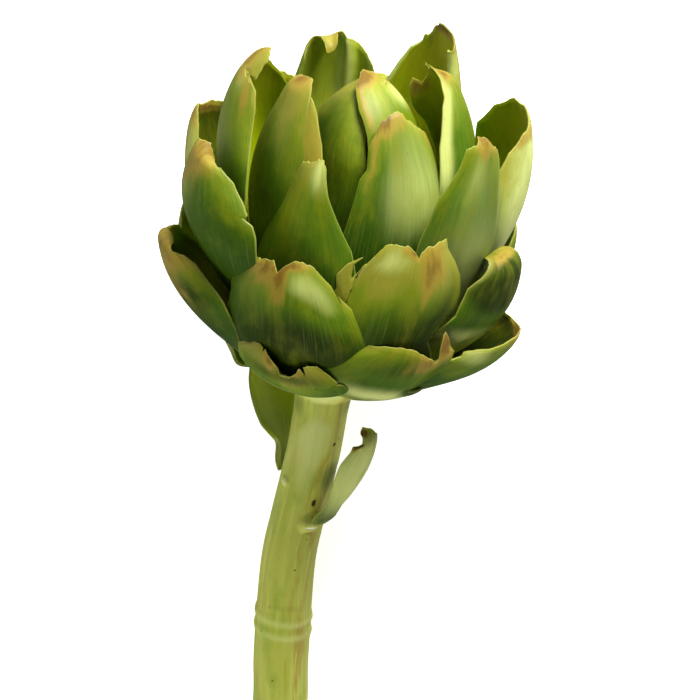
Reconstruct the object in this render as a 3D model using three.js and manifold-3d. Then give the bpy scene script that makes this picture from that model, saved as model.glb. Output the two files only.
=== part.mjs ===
// A globe artichoke on its cut stalk, lying on a flat surface. Millimetres, +Z up.
//
// The plant is built upright in a frame of its own: the axis of the head is +Z, the base of the head is
// the origin, and -Y is the side that faces up once the plant lies down. The last section lays it down.
// A bract is one leaf of the head: a thin cupped blade. Bracts are made from the inside of the head
// outwards, and each gives way to those inside it, as they do while the head grows.

import * as THREE from "three";
import Module from "manifold-3d";
import { mergeVertices } from "three/addons/utils/BufferGeometryUtils.js";

const wasm = await Module();
wasm.setup();

const { degToRad, lerp, smoothstep } = THREE.MathUtils;

// ---- driving dimensions ----

const gap = 0.3; // kept between pieces that touch
const stalkLength = 118; // from the base of the head to the cut end
const stalkRadius = 6.9; // under the head
const heartRadius = 19;
const budHeight = 79; // top of the closed bud above the base of the head
const bladeRoot = 2.2; // thickness of a bract where it leaves the heart
const bladeTip = 1; // and at its tip, in the middle
const lieAngle = 12.8; // slope of the head's axis above the surface
const leanAngle = 9; // turn of the head's axis to the right, seen from above
const basePlace = [-5.66, 14.17, 32.5]; // base of the head, with the whole plant centred on the origin

// ---- the bracts ----

// Each ring's shape holds for its bracts unless a bract has its own value.
// at: place round the axis, 0 at -Y and positive towards +X.
// root, tip: radius and height of the two ends of the rib.
// rise, close: slope of the rib there, in degrees. reach: how far the rib keeps those slopes.
// half: half the width. cup: angle that each half wraps at the tip.
// yaw: turn about the rib, which lifts one edge over a neighbour. side: how far the tip leans right.
// end: width of the blunt tip, as a share of the width. crown: how far the tip's corners fall back.
// tears: place across from -1 to 1, depth, half width.
const rings = [
  {
    name: "bud",
    shape: {
      root: [13.8, 21], rise: 88, close: 146, half: 15, cup: 62,
      yaw: 7, end: 0.42, crown: 0.06, reach: 0.3,
    },
    bracts: [
      { at: 100, tip: [7, 78] },
      { at: 170, tip: [6, 80] },
      { at: -120, tip: [6, 80] },
      { at: -50, tip: [5, 81.5], half: 16 },
      { at: 30, tip: [5, 82.5], half: 15.5 },
    ],
  },
  {
    name: "top",
    shape: {
      root: [16.8, 18.4], rise: 66, close: 104, half: 17, cup: 62,
      yaw: 8, end: 0.5, crown: 0.12, reach: 0.42,
    },
    bracts: [
      { at: 24, tip: [15, 76], half: 14, close: 112, cup: 66, peak: 0.35 },
      { at: -51, tip: [22, 84.5], half: 19, close: 108, end: 0.36, side: 1, tears: [[0.6, 0.12, 0.16]] },
      { at: -92, tip: [30, 82.5], half: 24, rise: 62, close: 118, cup: 88, end: 0.6 },
      { at: -156, tip: [27, 83], half: 16, end: 0.6 },
      { at: 98, tip: [17, 85], close: 128, cup: 74, tears: [[-0.3, 0.1, 0.16]] },
      { at: 147, tip: [27, 88], half: 17, end: 0.6 },
    ],
  },
  {
    name: "upper",
    shape: {
      root: [19.6, 14], rise: 42, close: 98, half: 18, cup: 58,
      yaw: 9, end: 0.45, crown: 0.12, reach: 0.42,
    },
    bracts: [
      { at: -18, tip: [31, 69], half: 15, end: 0.36 },
      { at: 58, tip: [34, 77], half: 17 },
      { at: 102, tip: [37.5, 77.5], half: 21, rise: 50, close: 110, cup: 66, end: 0.6 },
      { at: 142, tip: [38, 64] },
      { at: 180, tip: [38, 68] },
      { at: -142, tip: [38, 68] },
      { at: -108, tip: [44.5, 62], rise: 58, close: 98, half: 17 },
      { at: -64, tip: [41, 65], half: 20, rise: 48, close: 114, cup: 50, yaw: 0 },
    ],
  },
  {
    name: "middle",
    shape: {
      root: [19.6, 8.5], rise: 22, close: 92, half: 20, cup: 56,
      yaw: 8, end: 0.55, crown: 0.16, reach: 0.42,
    },
    bracts: [
      { at: -16, tip: [39, 44], side: -2, yaw: 0, cup: 50, tears: [[-0.05, 0.12, 0.16]] },
      { at: 27, tip: [38, 52], half: 21, tears: [[-0.66, 0.16, 0.16], [0.3, 0.1, 0.16]] },
      { at: 67, tip: [42, 48.5], half: 19, rise: 32, close: 98 },
      { at: 110, tip: [43, 44], half: 18 },
      { at: 154, tip: [42, 46] },
      { at: -156, tip: [42, 46], yaw: -8 },
      { at: -114, tip: [44, 38], half: 18, rise: 30 },
      { at: -77, tip: [45, 35], root: [19, 4.5], half: 19, rise: 36, close: 84, yaw: 2 },
    ],
  },
  {
    name: "lower",
    shape: {
      root: [17.2, 3.4], rise: 16, close: 76, half: 17, cup: 46,
      yaw: 4, end: 0.55, crown: 0.16, reach: 0.42,
    },
    bracts: [
      { at: -20, tip: [37, 20], yaw: -6, tears: [[-0.15, 0.2, 0.16]] },
      { at: 32, tip: [39, 25.5], half: 21.5, cup: 42, yaw: -2, tears: [[0.55, 0.16, 0.16]] },
      { at: 78, tip: [45, 27.5], root: [17, 1.5], half: 19, rise: 24, close: 82 },
      { at: 126, tip: [36, 17], rise: 6 },
      { at: 172, tip: [32, 15], rise: 0 },
      { at: -142, tip: [33, 16], rise: 0 },
      { at: -98, tip: [27, 7], root: [17.2, 1], half: 13, rise: 4, close: 50 },
    ],
  },
];

// The two small leaves that grow on the stalk, in the same words.
const stalkLeafShape = { reach: 0.4, end: 0.5, crown: 0.2, rows: 6, columns: 4 };
const stalkLeaves = [
  {
    name: "left",
    at: -128, root: [8.2, -29], tip: [24, -2], rise: 66, close: 64,
    half: 9, cup: 45, peak: 0.7,
  },
  {
    name: "right",
    at: 36, root: [8, -35.5], tip: [19.5, -7], rise: 50, close: 76,
    half: 3.9, cup: 55, peak: 0.62, side: 2,
  },
];

// ---- solids ----

// A closed mesh, given as points and triangles, as a solid that can be cut and joined.
function solid(positions, index) {
  const mesh = new wasm.Mesh({
    numProp: 3,
    vertProperties: new Float32Array(positions),
    triVerts: new Uint32Array(index),
  });
  return new wasm.Manifold(mesh);
}

function solidOf(geometry) {
  geometry.deleteAttribute("normal");
  geometry.deleteAttribute("uv");
  const merged = mergeVertices(geometry);
  return solid(merged.attributes.position.array, merged.index.array);
}

function geometryOf(made) {
  const mesh = made.getMesh();
  const geometry = new THREE.BufferGeometry();
  geometry.setAttribute("position", new THREE.BufferAttribute(mesh.vertProperties, 3));
  geometry.setIndex(new THREE.BufferAttribute(mesh.triVerts, 1));
  geometry.computeVertexNormals();
  return geometry;
}

// The largest of the bodies that a cut leaves.
function largest(made) {
  return made.decompose().reduce((best, body) => (body.volume() > best.volume() ? body : best));
}

// A stack of closed rings of points, the lowest first, capped at both ends.
function loft(loops) {
  const sides = loops[0].length;
  const positions = loops.flat().flatMap((p) => [p.x, p.y, p.z]);
  const index = [];
  for (let k = 0; k + 1 < loops.length; k++) {
    for (let i = 0; i < sides; i++) {
      const a = k * sides + i;
      const b = k * sides + ((i + 1) % sides);
      index.push(a, b, b + sides, a, b + sides, a + sides);
    }
  }
  const top = (loops.length - 1) * sides;
  for (let i = 1; i + 1 < sides; i++) {
    index.push(0, i + 1, i, top, top + i, top + i + 1);
  }
  return solid(positions, index);
}

// ---- blades ----

const bladeDefaults = { rows: 7, columns: 6, peak: 0.5, yaw: 0, side: 0, tears: [] };
const rootShare = 0.42; // width at the root, as a share of the greatest width
const rootCup = 30; // angle that each half of the root wraps
const edgeShare = 0.65; // thickness at the edge, as a share of that in the middle

// How wide a blade is along its length, as a share of its greatest width.
function outline(s, { peak, end }) {
  if (s < peak) return lerp(rootShare, 1, Math.sin((Math.PI / 2) * (s / peak)));
  return lerp(end, 1, Math.cos((Math.PI / 2) * ((s - peak) / (1 - peak))));
}

// Where the blade ends along the line at q, which runs from -1 at its left edge to 1 at its right.
function endAt(q, { crown, tears }) {
  const cuts = tears.map(([at, depth, half]) => depth * Math.max(0, 1 - Math.abs(q - at) / half));
  return 1 - crown * q * q - Math.max(0, ...cuts);
}

// The lines along the blade that its faces are built on: evenly spaced, with three more at each tear.
function columnsOf({ tears, columns }) {
  const torn = tears.flatMap(([at, , half]) => [at - half, at, at + half]).filter((q) => Math.abs(q) < 1);
  const even = Array.from({ length: columns + 1 }, (_, i) => (2 * i) / columns - 1);
  const apart = even.filter((q) => Math.abs(q) === 1 || torn.every((t) => Math.abs(q - t) > 0.14));
  return [...apart, ...torn].sort((a, b) => a - b);
}

// The rib of a blade: radius and height along its length.
function ribOf({ root, tip, rise, close, reach }) {
  const start = new THREE.Vector2(...root);
  const finish = new THREE.Vector2(...tip);
  const pull = reach * start.distanceTo(finish);
  const way = (angle) => new THREE.Vector2(Math.cos(degToRad(angle)), Math.sin(degToRad(angle)));
  return new THREE.CubicBezierCurve(
    start,
    start.clone().addScaledVector(way(rise), pull),
    finish.clone().addScaledVector(way(close), -pull),
    finish,
  );
}

// A point halfway through the blade, and the way that its outer face looks there.
function bladePoint(blade, rib, q, s) {
  const spot = rib.getPoint(s);
  const along = rib.getTangent(s);
  const angle = degToRad(blade.at);
  const out = new THREE.Vector3(Math.sin(angle), -Math.cos(angle), 0);
  const right = new THREE.Vector3(Math.cos(angle), Math.sin(angle), 0);
  const up = new THREE.Vector3(0, 0, 1);

  const forward = out.clone().multiplyScalar(along.x).addScaledVector(up, along.y);
  const turn = new THREE.Quaternion().setFromAxisAngle(forward, -degToRad(blade.yaw));
  const across = right.clone().applyQuaternion(turn);
  const face = out.clone().multiplyScalar(along.y).addScaledVector(up, -along.x).applyQuaternion(turn);

  const wrap = degToRad(lerp(rootCup, blade.cup, smoothstep(s, 0, 1)));
  const bend = (blade.half * outline(s, blade)) / wrap;
  const place = out.multiplyScalar(spot.x).addScaledVector(up, spot.y);
  place.addScaledVector(across, bend * Math.sin(q * wrap));
  place.addScaledVector(face, -bend * (1 - Math.cos(q * wrap)));
  place.addScaledVector(right, blade.side * s * s);
  const normal = face.multiplyScalar(Math.cos(q * wrap)).addScaledVector(across, Math.sin(q * wrap));
  return { place, normal };
}

// The blade as a closed solid. With a margin it is the larger solid that its neighbours give way to.
function bladeSolid(blade, margin = 0) {
  const { rows, half } = blade;
  const rib = ribOf(blade);
  const columns = columnsOf(blade);
  const positions = [];
  for (const side of [1, -1]) {
    for (const q of columns) {
      for (let j = 0; j <= rows; j++) {
        const s = (j / rows) * endAt(q, blade);
        const { place, normal } = bladePoint(blade, rib, q * (1 + margin / half), s);
        const thickness = lerp(bladeRoot, bladeTip, s) * lerp(1, edgeShare, q * q);
        place.addScaledVector(normal, side * (thickness / 2 + margin));
        positions.push(place.x, place.y, place.z);
      }
    }
  }
  const last = columns.length - 1;
  const inner = columns.length * (rows + 1);
  const corner = (i, j) => i * (rows + 1) + j;
  const index = [];
  for (let i = 0; i < last; i++) {
    for (let j = 0; j < rows; j++) {
      const [a, b, c, d] = [corner(i, j), corner(i + 1, j), corner(i + 1, j + 1), corner(i, j + 1)];
      index.push(a, b, c, a, c, d);
      index.push(inner + a, inner + c, inner + b, inner + a, inner + d, inner + c);
    }
  }
  const rim = [];
  for (let i = 0; i < last; i++) rim.push(corner(i, 0));
  for (let j = 0; j < rows; j++) rim.push(corner(last, j));
  for (let i = last; i > 0; i--) rim.push(corner(i, rows));
  for (let j = rows; j > 0; j--) rim.push(corner(0, j));
  rim.forEach((a, k) => {
    const b = rim[(k + 1) % rim.length];
    index.push(b, a, inner + a, b, inner + a, inner + b);
  });
  return solid(positions, index);
}

// ---- the stalk with the heart, and the closed bud ----

const stalkSides = 24;
const stalkRows = 14;
const stalkRibs = 8;
const ribDepth = 0.16;
const waist = 0.4; // how much thinner the stalk is below its small leaves
const jointHeight = -70; // a scar that rings the stalk, where a leaf once grew
const jointReach = 2; // to the ridge above it and the ridge below it
const jointDepth = 0.5;

// The middle line of the stalk, as height and bow to the right: it bows left, then back again.
const stalkBow = new THREE.SplineCurve([
  new THREE.Vector2(30, 0),
  new THREE.Vector2(-16, -0.2),
  new THREE.Vector2(-48, -2.8),
  new THREE.Vector2(-82, -0.6),
  new THREE.Vector2(-stalkLength, 2.6),
]);
const bowLine = stalkBow.getPoints(60);

function stalkMiddle(z) {
  const k = Math.max(1, bowLine.findIndex((p) => p.x <= z));
  const [above, below] = [bowLine[k - 1], bowLine[k]];
  return lerp(below.y, above.y, (z - below.x) / (above.x - below.x));
}

// Radius against height, from under the head to the top of the heart that carries the bracts.
const heartProfile = [
  [8.2, -4],
  [11.5, 0],
  [16, 3],
  [heartRadius, 8],
  [heartRadius, 13],
  [16.5, 18],
  [12.5, 20.5],
];

function stalkSolid(margin = 0) {
  const heights = Array.from({ length: stalkRows + 1 }, (_, k) => lerp(-stalkLength, -10, k / stalkRows));
  heights.push(jointHeight - jointReach, jointHeight, jointHeight + jointReach);
  heights.sort((a, b) => a - b);
  const stalkProfile = heights.map((z) => {
    const off = (Math.abs(z - jointHeight) - jointReach) / 1.4;
    const joint = jointDepth * Math.exp(-off * off);
    const thinner = waist * (smoothstep(-z, 20, 45) - 0.8 * smoothstep(-z, 75, stalkLength));
    return [stalkRadius + joint - thinner, z];
  });
  const loops = [...stalkProfile, ...heartProfile].map(([radius, z]) => {
    const depth = z < heartProfile[0][1] ? ribDepth : 0;
    return Array.from({ length: stalkSides }, (_, i) => {
      const angle = (2 * Math.PI * i) / stalkSides;
      const r = radius + depth * Math.cos(stalkRibs * angle) + margin;
      return new THREE.Vector3(stalkMiddle(z) + r * Math.cos(angle), r * Math.sin(angle), z);
    });
  });
  return loft(loops);
}

const budSides = 20;
const budLaps = 5; // edges of the tight inner bracts, which wind round the bud
const budProfile = [
  [12.2, 21],
  [13, 30],
  [13, 42],
  [12.6, 54],
  [11, 64],
  [7.6, 73],
  [3, budHeight],
];

function budSolid(margin = 0) {
  const loops = budProfile.map(([radius, z]) =>
    Array.from({ length: budSides }, (_, i) => {
      const angle = (2 * Math.PI * i) / budSides;
      const lap = (budLaps * (i / budSides) + z / 60) % 1;
      const r = radius * (1 - 0.06 * lap) + margin;
      return new THREE.Vector3(r * Math.cos(angle), r * Math.sin(angle), z + margin * (z === budHeight));
    }),
  );
  return loft(loops);
}

// ---- assembly ----

const bractGreen = new THREE.MeshStandardMaterial({ color: 0x6f8b2c, roughness: 0.5, metalness: 0 });
const stalkGreen = new THREE.MeshStandardMaterial({ color: 0xa3ad58, roughness: 0.55, metalness: 0 });

// The plant laid down: its front turns up, its axis slopes to the surface and leans to the right.
const plant = new THREE.Group();
plant.rotation.set(degToRad(lieAngle - 90), 0, degToRad(-leanAngle), "ZYX");
plant.position.set(...basePlace);
plant.updateMatrix();

// What lies below the surface, in the plant's own frame. What presses on the surface is flattened by it.
const ground = new THREE.BoxGeometry(400, 400, 40).translate(0, 0, -20);
const surface = solidOf(ground.applyMatrix4(plant.matrix.clone().invert()));

function add(name, made, material) {
  const mesh = new THREE.Mesh(geometryOf(made), material);
  mesh.name = name;
  plant.add(mesh);
}

add("stalk_and_heart", stalkSolid().subtract(surface), stalkGreen);
add("closed_bud", budSolid(), bractGreen);

const inside = [stalkSolid(gap), budSolid(gap)];

function addBlade(name, given) {
  const blade = { ...bladeDefaults, ...given };
  const made = inside.reduce((rest, other) => rest.subtract(other), bladeSolid(blade));
  add(name, largest(largest(made).subtract(surface)), bractGreen);
  inside.push(bladeSolid(blade, gap));
}

for (const ring of rings) {
  ring.bracts.forEach((bract, i) => addBlade(`${ring.name}_bract_${i + 1}`, { ...ring.shape, ...bract }));
}
for (const leaf of stalkLeaves) {
  addBlade(`stalk_leaf_${leaf.name}`, { ...stalkLeafShape, ...leaf });
}

export default plant;
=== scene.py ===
# A globe artichoke with its cut stalk, lying on a pale table.
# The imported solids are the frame. Each is dressed here with a finer mesh grown from the same measures.
import bpy
import math
import numpy as np
from mathutils import Matrix, Vector


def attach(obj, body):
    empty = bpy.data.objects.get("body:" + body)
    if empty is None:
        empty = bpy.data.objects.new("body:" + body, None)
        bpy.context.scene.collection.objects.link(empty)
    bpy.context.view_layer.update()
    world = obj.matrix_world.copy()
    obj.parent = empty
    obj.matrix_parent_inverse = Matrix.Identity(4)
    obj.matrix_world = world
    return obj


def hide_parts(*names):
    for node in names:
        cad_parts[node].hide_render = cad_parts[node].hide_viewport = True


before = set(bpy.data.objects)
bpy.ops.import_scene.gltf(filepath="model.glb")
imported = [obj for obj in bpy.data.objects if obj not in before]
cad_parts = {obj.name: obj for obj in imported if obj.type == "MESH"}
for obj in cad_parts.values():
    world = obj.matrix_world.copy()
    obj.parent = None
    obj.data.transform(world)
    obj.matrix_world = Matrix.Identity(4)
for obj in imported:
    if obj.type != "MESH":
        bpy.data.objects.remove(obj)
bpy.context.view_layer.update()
print("frame loaded,", len(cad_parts), "solids")

# The plant grows upright in its own frame, in millimetres: the head's axis is +Z, its base the origin,
# and -Y the side that faces up once the plant lies down.
plant = {"slope": 12.8, "lean": 9.0, "base": (-5.66, 14.17, 32.5)}
metresPerMillimetre = 0.001

layDown = (
    Matrix.Translation(Vector(plant["base"]))
    @ Matrix.Rotation(math.radians(-plant["lean"]), 4, "Z")
    @ Matrix.Rotation(math.radians(plant["slope"] - 90), 4, "X")
)


def laidDown(points):
    turn = np.array(layDown)
    laid = points @ turn[:3, :3].T + turn[:3, 3]
    laid[..., 2] = np.maximum(laid[..., 2], 0.0)  # what presses on the table is flattened
    return laid * metresPerMillimetre


def lerp(a, b, t):
    return a + (b - a) * t


def smooth(t, low=0.0, high=1.0):
    t = np.clip((t - low) / (high - low), 0, 1)
    return t * t * (3 - 2 * t)


def hump(t, centre, half):
    return np.clip(1 - np.abs(t - centre) / half, 0, 1)


waveKind = {"fall": 0.55, "perOctave": 4, "paces": (0.7, 1.4), "level": 3}


# Soft random waves, about -1 to 1. Each octave is twice as fine as the last, and lower.
def waves(u, v, seed, octaves=2):
    rng = np.random.default_rng(seed)
    total = np.zeros(np.broadcast(u, v).shape)
    for octave in range(octaves):
        height = waveKind["fall"]**octave
        for _ in range(waveKind["perOctave"]):
            way, phase = rng.uniform(0, 2 * math.pi, 2)
            pace = 2.0**octave * rng.uniform(*waveKind["paces"])
            total = total + height * np.sin(pace * (u * math.cos(way) + v * math.sin(way)) + phase)
    return total / waveKind["level"]


# A bump of height 1 round a centre, which falls off over its reach.
def bell(t, centre, reach):
    return np.exp(-(((t - centre) / reach) ** 2))


# Quads of a surface that closes on itself, from rows of points once round.
def tubeFaces(sides, rows):
    faces = []
    for row in range(rows - 1):
        for side in range(sides):
            one, two = row * sides + side, row * sides + (side + 1) % sides
            faces.append((one, two, two + sides, one + sides))
    return faces


# Linear colour from screen values of 0 to 255, by the sRGB curve.
def fromScreen(red, green, blue):
    def linear(value):
        value /= 255
        return value / 12.92 if value < 0.04045 else ((value + 0.055) / 1.055) ** 2.4
    return (linear(red), linear(green), linear(blue), 1.0)


# Joins what is already a socket, and sets the rest as plain values.
def feed(tree, node, inputs):
    for name, value in inputs.items():
        if isinstance(value, bpy.types.NodeSocket):
            tree.links.new(value, node.inputs[name])
        else:
            node.inputs[name].default_value = value


def addNode(tree, kind, inputs=None, **settings):
    made = tree.nodes.new(kind)
    for name, value in settings.items():
        setattr(made, name, value)
    feed(tree, made, inputs or {})
    return made


def maths(tree, operation, a, b=0.0, c=0.0):
    return addNode(tree, "ShaderNodeMath", {0: a, 1: b, 2: c}, operation=operation).outputs[0]


def mixed(tree, factor, a, b):
    return addNode(tree, "ShaderNodeMix", {0: factor, 6: a, 7: b}, data_type="RGBA").outputs[2]


def ramped(tree, factor, stops):
    made = addNode(tree, "ShaderNodeValToRGB", {"Fac": factor})
    ramp = made.color_ramp
    while len(ramp.elements) < len(stops):
        ramp.elements.new(0.5)
    for element, (place, colour) in zip(ramp.elements, stops):
        element.position = place
        element.color = fromScreen(*colour)
    return made.outputs["Color"]


# A 0 to 1 mask that rises where a value passes from low to high.
def passing(tree, value, low, high):
    made = addNode(
        tree, "ShaderNodeMapRange",
        {"Value": value, "From Min": low, "From Max": high}, interpolation_type="SMOOTHSTEP",
    )
    return made.outputs["Result"]


# Noise over the surface's own grain, stretched by so many features per millimetre each way.
def grainNoise(tree, grain, pace, detail=2.0, roughness=0.55):
    scaled = addNode(tree, "ShaderNodeVectorMath", {0: grain, 1: pace}, operation="MULTIPLY")
    made = addNode(
        tree, "ShaderNodeTexNoise",
        {"Vector": scaled.outputs[0], "Scale": 1.0, "Detail": detail, "Roughness": roughness},
    )
    return made.outputs["Fac"]


# Colours are screen values. noise: features per millimetre across, along and through, detail, roughness.
# sums: a value that starts from one and adds others, each less its middle and times its share.
# layers: the value that a tint follows, where it starts and is full, its share there, and its colour.
# roughness: the noise that it follows, its lowest and its highest. Depth and relief are in metres.
bractFinish = {
    "outer": [  # along the bract, from the root to the tip; its dark lower part is partly painted shade where the bracts overlap
        (0, (112, 128, 44)), (0.16, (38, 62, 6)), (0.45, (47, 76, 4)),
        (0.7, (70, 99, 7)), (0.88, (108, 124, 20)), (1, (136, 134, 42)),
    ],
    "outerFrom": (0.3, 0.7),
    # inner face: its own olive colour, made brighter as painted light coming through the bract
    "inner": [(0, (130, 144, 30)), (0.3, (120, 138, 0)), (0.75, (154, 168, 2)), (1, (164, 164, 20))],
    "colours": {
        # pale is the colour of pale fibres, paler parts and painted highlights; deep of dark fibres and
        # painted shade
        "pale": (186, 194, 110), "deep": (34, 50, 2), "warm": (120, 122, 8), "tan": (146, 124, 42),
        "brown": (104, 74, 20), "rim": (148, 150, 66),
    },
    "noise": {
        "fibres": ((2.6, 0.05, 1.0), 3.0),
        "bands": ((0.42, 0.022, 1.0), 2.0),
        "clouds": ((0.085, 0.055, 1.0), 4.0, 0.65),
        "mottle": ((0.45, 0.3, 1.0), 4.0, 0.65),
        "patches": ((0.14, 0.06, 1.0), 4.0, 0.6),
        "specks": ((0.9, 0.7, 1.0), 1.0),
    },
    "sums": {
        "place": ("share", [("bands", 0.5, 0.06), ("clouds", 0.5, 0.6), ("own", 0, 0.12)]),
        "light": ("pale", [("bands", 0.5, 0.14)]),
        "warmth": ("patches", [("share", 0, 0.25)]),
        "dryness": ("brown", [("mottle", 0.5, 0.7), ("bands", 0.5, 0.5)]),
        "height": ("fibres", [("bands", 0, 1.2), ("mottle", 0, 0.5)]),
    },
    "layers": [
        # the light value paints highlights towards pale, and shade towards deep where it is below zero
        ("light", 0.15, 1.2, 1, "pale"),
        ("light", -0.15, -1.2, 1, "deep"),
        ("fibres", 0.52, 0.78, 0.24, "deep"),
        ("fibres", 0.50, 0.24, 0.09, "pale"),
        ("warmth", 0.62, 0.95, 0.5, "warm"),
        ("dryness", 0.22, 0.75, 0.85, "tan"),
        ("dryness", 0.72, 1.25, 0.85, "brown"),
        ("rim", 0.4, 0.05, 0.6, "rim"),
        ("specks", 0.735, 0.79, 0.5, "brown"),
    ],
    "roughness": ("mottle", 0.38, 0.52), "specular": 0.22,
    "scatter": 0.10, "scatterColour": (0.5, 1.0, 0.2), "scatterDepth": 0.0025,
    "relief": 0.00012, "reliefShare": 0.5,
}

budFinish = bractFinish | {
    # along the bract, from the root to the tip; its dark lower part is partly painted shade
    "outer": [
        (0, (112, 128, 44)), (0.2, (42, 68, 5)), (0.5, (50, 78, 4)),
        (0.76, (80, 106, 6)), (0.92, (122, 134, 24)), (1, (148, 142, 44)),
    ],
}

stalkFinish = {
    "ground": "dull",
    "colours": {
        # Of these, the pale (194, 200, 120) serves the pith, pale spots and painted light, and deep is
        # painted shade.
        "dull": (160, 168, 62), "light": (186, 192, 92), "base": (174, 178, 76), "green": (134, 156, 52),
        "streak": (158, 134, 52), "bare": (194, 200, 120), "bright": (234, 238, 222),
        "deep": (62, 78, 8), "speck": (58, 44, 22),
    },
    "noise": {
        "bands": ((0.55, 0.018, 1.0), 3.0),
        "threads": ((1.7, 0.03, 1.0), 3.0),
        "clouds": ((0.16, 0.06, 1.0), 3.0),
        "scars": ((0.9, 0.075, 0.9), 5.0, 0.7),
        "blotches": ((0.22, 0.09, 0.22), 4.0, 0.6),
        "specks": ((0.75, 0.45, 0.75), 1.0),
    },
    "sums": {
        "streaks": ("scars", [("brown", 0, 0.35)]),
        "height": ("threads", [("bands", 0, 0.5)]),
    },
    "layers": [
        ("bands", 0.35, 0.68, 1, "light"),
        ("clouds", 0.3, 0.75, 1, "base"),
        ("threads", 0.55, 0.75, 0.35, "dull"),
        ("blotches", 0.48, 0.7, 0.6, "green"),
        ("streaks", 0.58, 0.80, 0.8, "streak"),
        # paleness brings in the pale colours, partly as painted light; below zero it brings in painted
        # shade
        ("pale", 0.1, 0.9, 1, "bare"),
        ("pale", 1.3, 1.9, 1, "bright"),
        ("pale", -0.05, -1.0, 1, "deep"),
        ("specks", 0.76, 0.80, 0.8, "speck"),
        ("brown", 0.7, 1.2, 1, "speck"),
    ],
    "roughness": ("clouds", 0.42, 0.58), "specular": 0.25,
    "scatter": 0.12, "scatterColour": (0.8, 1.0, 0.3), "scatterDepth": 0.003,
    "relief": 0.00018, "reliefShare": 0.5,
}


# A finish laid on in layers. The mesh's own values say where it is brown, how pale it is
# (partly painted light, and painted shade below zero), which face is outside,
# how far along it a point lies, how near its rim, and how its piece differs from the others.
def makeMaterial(name, finish):
    material = bpy.data.materials.new(name)
    material.use_nodes = True
    tree = material.node_tree
    skin = tree.nodes["Principled BSDF"]
    grain, paint, reach = (
        addNode(tree, "ShaderNodeAttribute", attribute_name=attribute).outputs["Vector"]
        for attribute in ("grain", "paint", "reach")
    )
    values = {}
    for given, parts in ((paint, ("brown", "pale", "outer")), (reach, ("share", "rim", "own"))):
        values |= zip(parts, addNode(tree, "ShaderNodeSeparateXYZ", {0: given}).outputs)
    for noise, given in finish["noise"].items():
        values[noise] = grainNoise(tree, grain, *given)
    for total, (first, others) in finish["sums"].items():
        values[total] = values[first]
        for other, middle, share in others:
            added = maths(tree, "SUBTRACT", values[other], middle) if middle else values[other]
            values[total] = maths(tree, "MULTIPLY_ADD", added, share, values[total])

    if "ground" in finish:
        colour = fromScreen(*finish["colours"][finish["ground"]])
    else:
        inner, outer = (ramped(tree, values["place"], finish[face]) for face in ("inner", "outer"))
        colour = mixed(tree, passing(tree, values["outer"], *finish["outerFrom"]), inner, outer)
    for followed, start, full, share, tint in finish["layers"]:
        mask = maths(tree, "MULTIPLY", passing(tree, values[followed], start, full), share)
        colour = mixed(tree, mask, colour, fromScreen(*finish["colours"][tint]))

    worn, low, high = finish["roughness"]
    relief = {"Height": values["height"], "Strength": finish["reliefShare"], "Distance": finish["relief"]}
    feed(tree, skin, {
        "Base Color": colour,
        "Roughness": maths(tree, "MULTIPLY_ADD", values[worn], high - low, low),
        "Specular IOR Level": finish["specular"],
        "Subsurface Weight": finish["scatter"],
        "Subsurface Radius": finish["scatterColour"],
        "Subsurface Scale": finish["scatterDepth"],
        "Normal": addNode(tree, "ShaderNodeBump", relief).outputs["Normal"],
    })
    return material


bractMaterial = makeMaterial("bractSkin", bractFinish)
budMaterial = makeMaterial("budSkin", budFinish)
stalkMaterial = makeMaterial("stalkSkin", stalkFinish)
print("materials made")


def placed(name, data):
    holder = bpy.data.objects.new(name, data)
    bpy.context.scene.collection.objects.link(holder)
    return holder


# A mesh from points in the plant's frame and its faces, with the values that the finish reads.
def addPiece(name, points, faces, facts, material, node):
    mesh = bpy.data.meshes.new(name)
    mesh.from_pydata(laidDown(points).tolist(), [], faces)
    mesh.polygons.foreach_set("use_smooth", [True] * len(mesh.polygons))
    for attribute, values in facts.items():
        layer = mesh.attributes.new(attribute, "FLOAT_VECTOR", "POINT")
        layer.data.foreach_set("vector", np.asarray(values, float).ravel())
    mesh.update()
    piece = placed(name, mesh)
    mesh.materials.append(material)
    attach(piece, "root")
    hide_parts(node)


# Each ring's shape holds for its bracts unless a bract has its own value. Lengths are in millimetres.
# at: place round the axis, 0 at -Y. root, tip: radius and height of the rib's ends. rise, close: its slope
# there in degrees. half: half the width. cup: angle that each half wraps at the tip. yaw: turn about the
# rib. end: width of the blunt tip. crown: how far its corners fall back.
# tipLine: where the blade ends, as pairs of across and along. left, right: how wide each side is
# along the blade, as pairs of along and width.
# belly: how far the middle of the rib is pushed outwards.
# curl: where it starts along the bract, angle inwards, middle across, spread across.
# roll: angle that the left and right edges roll inwards, and where that starts along the bract.
# folds: lengthwise creases, as across, depth inwards, half width, and where they start.
# stains: place across and along, spread across and along, browning, and paleness, which is mostly painted
# light with some of the bract's own paler parts, and painted shade below zero.
# inside: paleness added to the inner face, as painted light; below zero, painted shade.
ringShapes = {
    "bud": {
        "root": (13.2, 21), "rise": 90, "close": 92, "half": 16, "cup": 66, "yaw": 3, "end": 0.6,
        "crown": 0.03, "reach": 0.333, "dry": 0.3, "curl": (0.6, 75, 0, 99),
    },
    "top": {
        "root": (16.8, 18.4), "rise": 66, "close": 104, "half": 17, "cup": 62, "yaw": 8, "end": 0.5,
        "crown": 0.12,
    },
    "upper": {
        "root": (19.6, 14), "rise": 42, "close": 98, "half": 18, "cup": 58, "yaw": 9, "end": 0.45,
        "crown": 0.12,
    },
    "middle": {
        "root": (19.6, 8.5), "rise": 22, "close": 92, "half": 20, "cup": 56, "yaw": 8, "end": 0.55,
        "crown": 0.16,
    },
    "lower": {
        "root": (17.2, 3.4), "rise": 16, "close": 76, "half": 17, "cup": 46, "yaw": 4, "end": 0.55,
        "crown": 0.16,
    },
}
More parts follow.
